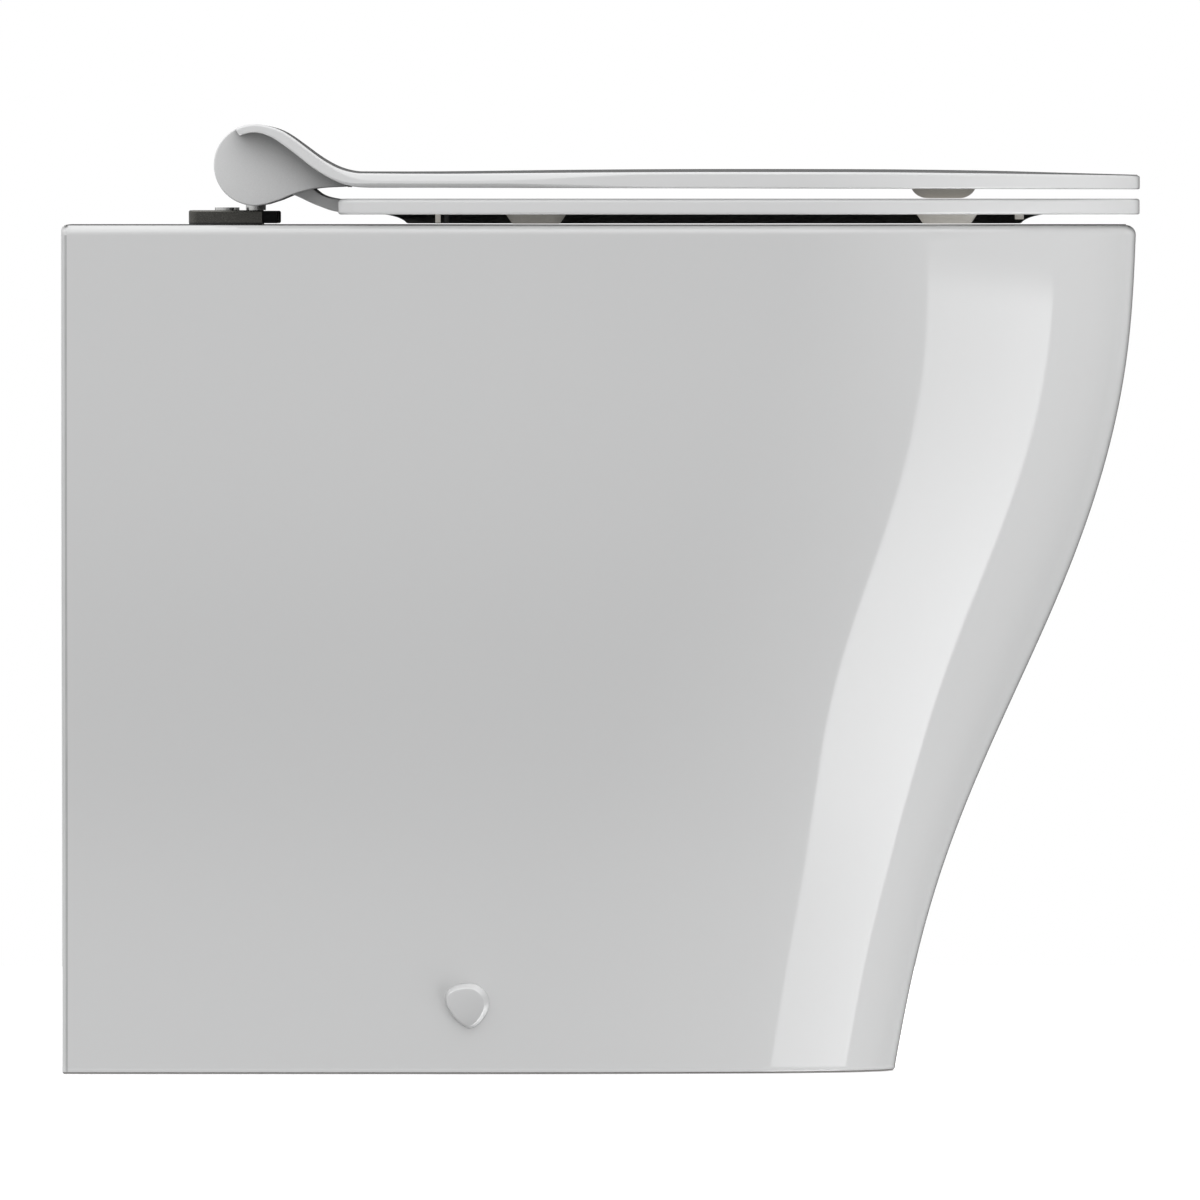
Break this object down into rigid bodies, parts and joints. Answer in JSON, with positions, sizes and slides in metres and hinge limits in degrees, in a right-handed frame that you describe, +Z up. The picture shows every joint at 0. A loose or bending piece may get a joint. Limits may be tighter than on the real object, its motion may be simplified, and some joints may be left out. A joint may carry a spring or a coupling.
{
  "type": "floor-standing toilet",
  "caption": "Back-to-wall floor-standing toilet: skirted ceramic pan with S-shaped front, slim soft-close seat and wave-shaped lid on a quick-release roll hinge.",
  "frame": {"origin": "bottom centre of the whole object's box: on the floor, midway between the wall plane and the front of the lid", "axes": "+X from the wall to the front, +Y to the left side seen facing forwards, +Z up"},
  "size_m": [0.539, 0.3596, 0.4739],
  "materials": {
    "glaze": "gloss white vitreous glaze",
    "seat_resin": "gloss white thermoset",
    "cap_plastic": "gloss white",
    "dark_chrome": "dark chrome",
    "black_plastic": "satin black",
    "grey_plastic": "satin grey",
    "steel": "bright stainless",
    "brass": "turned",
    "rubber": "matt black",
    "buffer_rubber": "translucent off-white"
  },
  "bodies": {
    "pan": {"pan_rim": "glaze", "pan_skirt": "glaze", "pan_bowl": "glaze", "pan_trapway": "glaze", "pan_flush_horn": "glaze", "base_pad_left": "rubber", "base_pad_right": "rubber", "hinge_base_left": "dark_chrome", "hinge_base_right": "dark_chrome", "hinge_post_left": "steel", "hinge_post_right": "steel", "hinge_pin_left": "steel", "hinge_pin_right": "steel", "seat_damper_housing": "black_plastic", "lid_damper_housing": "black_plastic", "seat_fixing_bolts": "steel", "expanding_sleeves": "rubber", "sleeve_washers": "steel", "sleeve_nuts": "brass", "floor_bracket_left": "grey_plastic", "floor_bracket_right": "grey_plastic", "side_screws": "steel", "screw_collars": "grey_plastic", "side_nuts": "steel", "cover_cap_left": "cap_plastic", "cover_cap_right": "cap_plastic", "flush_inlet_seal": "rubber"},
    "seat": {"seat_ring": "seat_resin", "seat_bush_left": "grey_plastic", "seat_bush_right": "grey_plastic", "seat_damper_rotor": "grey_plastic", "seat_buffer_rear_left": "buffer_rubber", "seat_buffer_rear_right": "buffer_rubber", "seat_buffer_front_left": "buffer_rubber", "seat_buffer_front_right": "buffer_rubber"},
    "lid": {"lid": "seat_resin", "lid_bush_left": "grey_plastic", "lid_bush_right": "grey_plastic", "cheek_bush_left": "grey_plastic", "cheek_bush_right": "grey_plastic", "lid_damper_rotor": "grey_plastic", "lid_buffer_left": "buffer_rubber", "lid_buffer_right": "buffer_rubber"},
    "button_left": {"release_button_left": "black_plastic"},
    "button_right": {"release_button_right": "black_plastic"}
  },
  "joints": [
    {"name": "seat_lift", "type": "hinge", "parent": "pan", "child": "seat", "pos_m": [-0.1732, 0, 0.4536], "axis": [0, -1, 0], "range_deg": [0, 95]},
    {"name": "lid_lift", "type": "hinge", "parent": "seat", "child": "lid", "pos_m": [-0.1732, 0, 0.4536], "axis": [0, -1, 0], "range_deg": [0, 98]},
    {"name": "button_left_press", "type": "slide", "parent": "pan", "child": "button_left", "axis": [-1, 0, 0], "range_m": [0, 0.0025], "stiffness_N_per_m": 600, "springref_m": -0.001},
    {"name": "button_right_press", "type": "slide", "parent": "pan", "child": "button_right", "axis": [-1, 0, 0], "range_m": [0, 0.0025], "stiffness_N_per_m": 600, "springref_m": -0.001}
  ]
}
